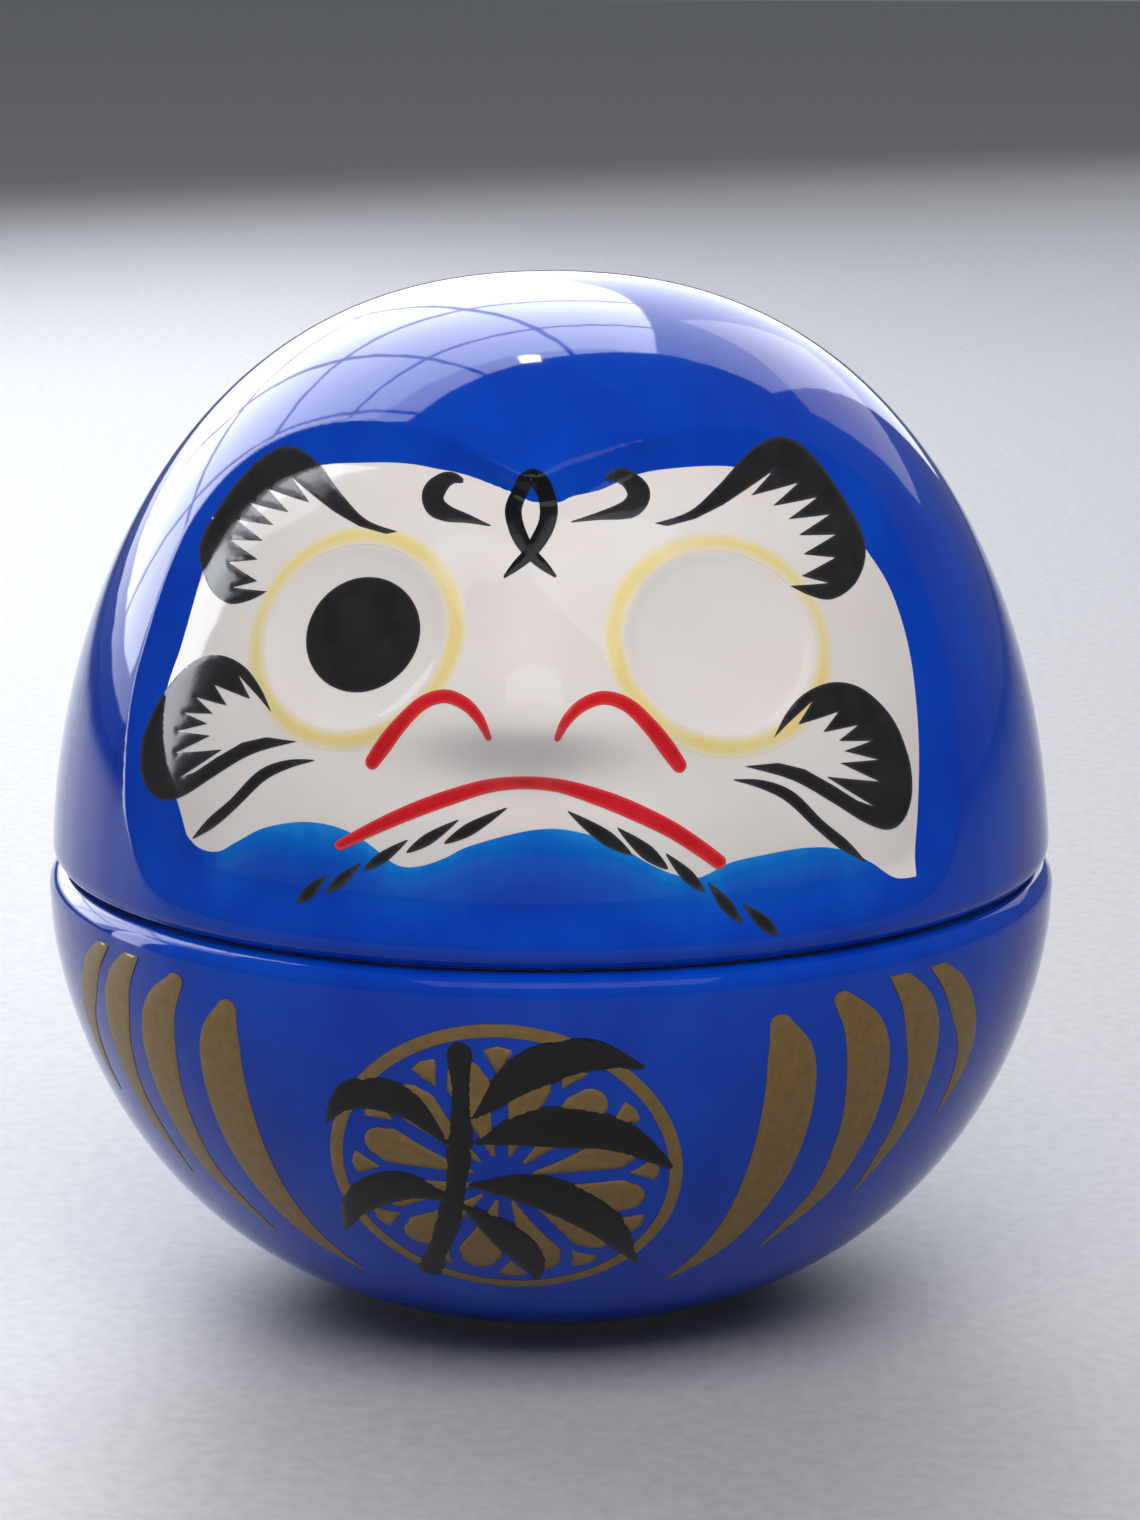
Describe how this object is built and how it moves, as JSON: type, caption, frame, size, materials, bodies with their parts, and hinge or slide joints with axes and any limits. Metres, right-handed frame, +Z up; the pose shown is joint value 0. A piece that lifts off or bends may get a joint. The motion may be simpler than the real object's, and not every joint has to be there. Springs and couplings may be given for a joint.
{
  "type": "daruma doll lidded bowl",
  "caption": "Round-bottomed glazed ceramic lidded bowl shaped as a daruma doll; the lift-off dome lid is the hooded face, the bowl is the body with gold strokes and a medallion.",
  "frame": {"origin": "centre of the foot ring's resting face", "axes": "+Z up along the body's axis of revolution, -Y the way the painted face looks, +X to the right of someone who looks at the face"},
  "size_m": [0.11, 0.11, 0.1113],
  "materials": {
    "white_stoneware": "clear-glazed warm white, bare on the rims and foot",
    "blue_glaze": "gloss cobalt blue, brushed",
    "gold_enamel": "satin gold-bronze enamel",
    "black_enamel": "gloss black enamel",
    "red_enamel": "gloss red enamel",
    "yellow_enamel": "soft sprayed pale yellow enamel"
  },
  "bodies": {
    "bowl": {"bowl_body": "white_stoneware", "bowl_blue_glaze": "blue_glaze", "gold_stripe_left_1": "gold_enamel", "gold_stripe_left_2": "gold_enamel", "gold_stripe_left_3": "gold_enamel", "gold_stripe_left_4": "gold_enamel", "gold_stripe_right_1": "gold_enamel", "gold_stripe_right_2": "gold_enamel", "gold_stripe_right_3": "gold_enamel", "gold_stripe_right_4": "gold_enamel", "medallion_ring": "gold_enamel", "medallion_petals": "gold_enamel", "bamboo_motif": "black_enamel"},
    "lid": {"lid_body": "white_stoneware", "lid_blue_glaze": "blue_glaze", "eye_ring_left": "yellow_enamel", "eye_ring_right": "yellow_enamel", "eye_pupil_left": "black_enamel", "brow_left": "black_enamel", "brow_right": "black_enamel", "curl_left": "black_enamel", "curl_right": "black_enamel", "forehead_knot": "black_enamel", "cheek_tuft_left": "black_enamel", "cheek_tuft_right": "black_enamel", "cheek_streak_left": "black_enamel", "cheek_streak_right": "black_enamel", "nose_line_left": "red_enamel", "nose_line_right": "red_enamel", "mouth_line": "red_enamel", "whiskers_left": "black_enamel", "whiskers_right": "black_enamel"}
  },
  "joints": [
    {"name": "lid_lift", "type": "slide", "parent": "bowl", "child": "lid", "axis": [0, 0, 1], "range_m": [0, 0.08]}
  ]
}
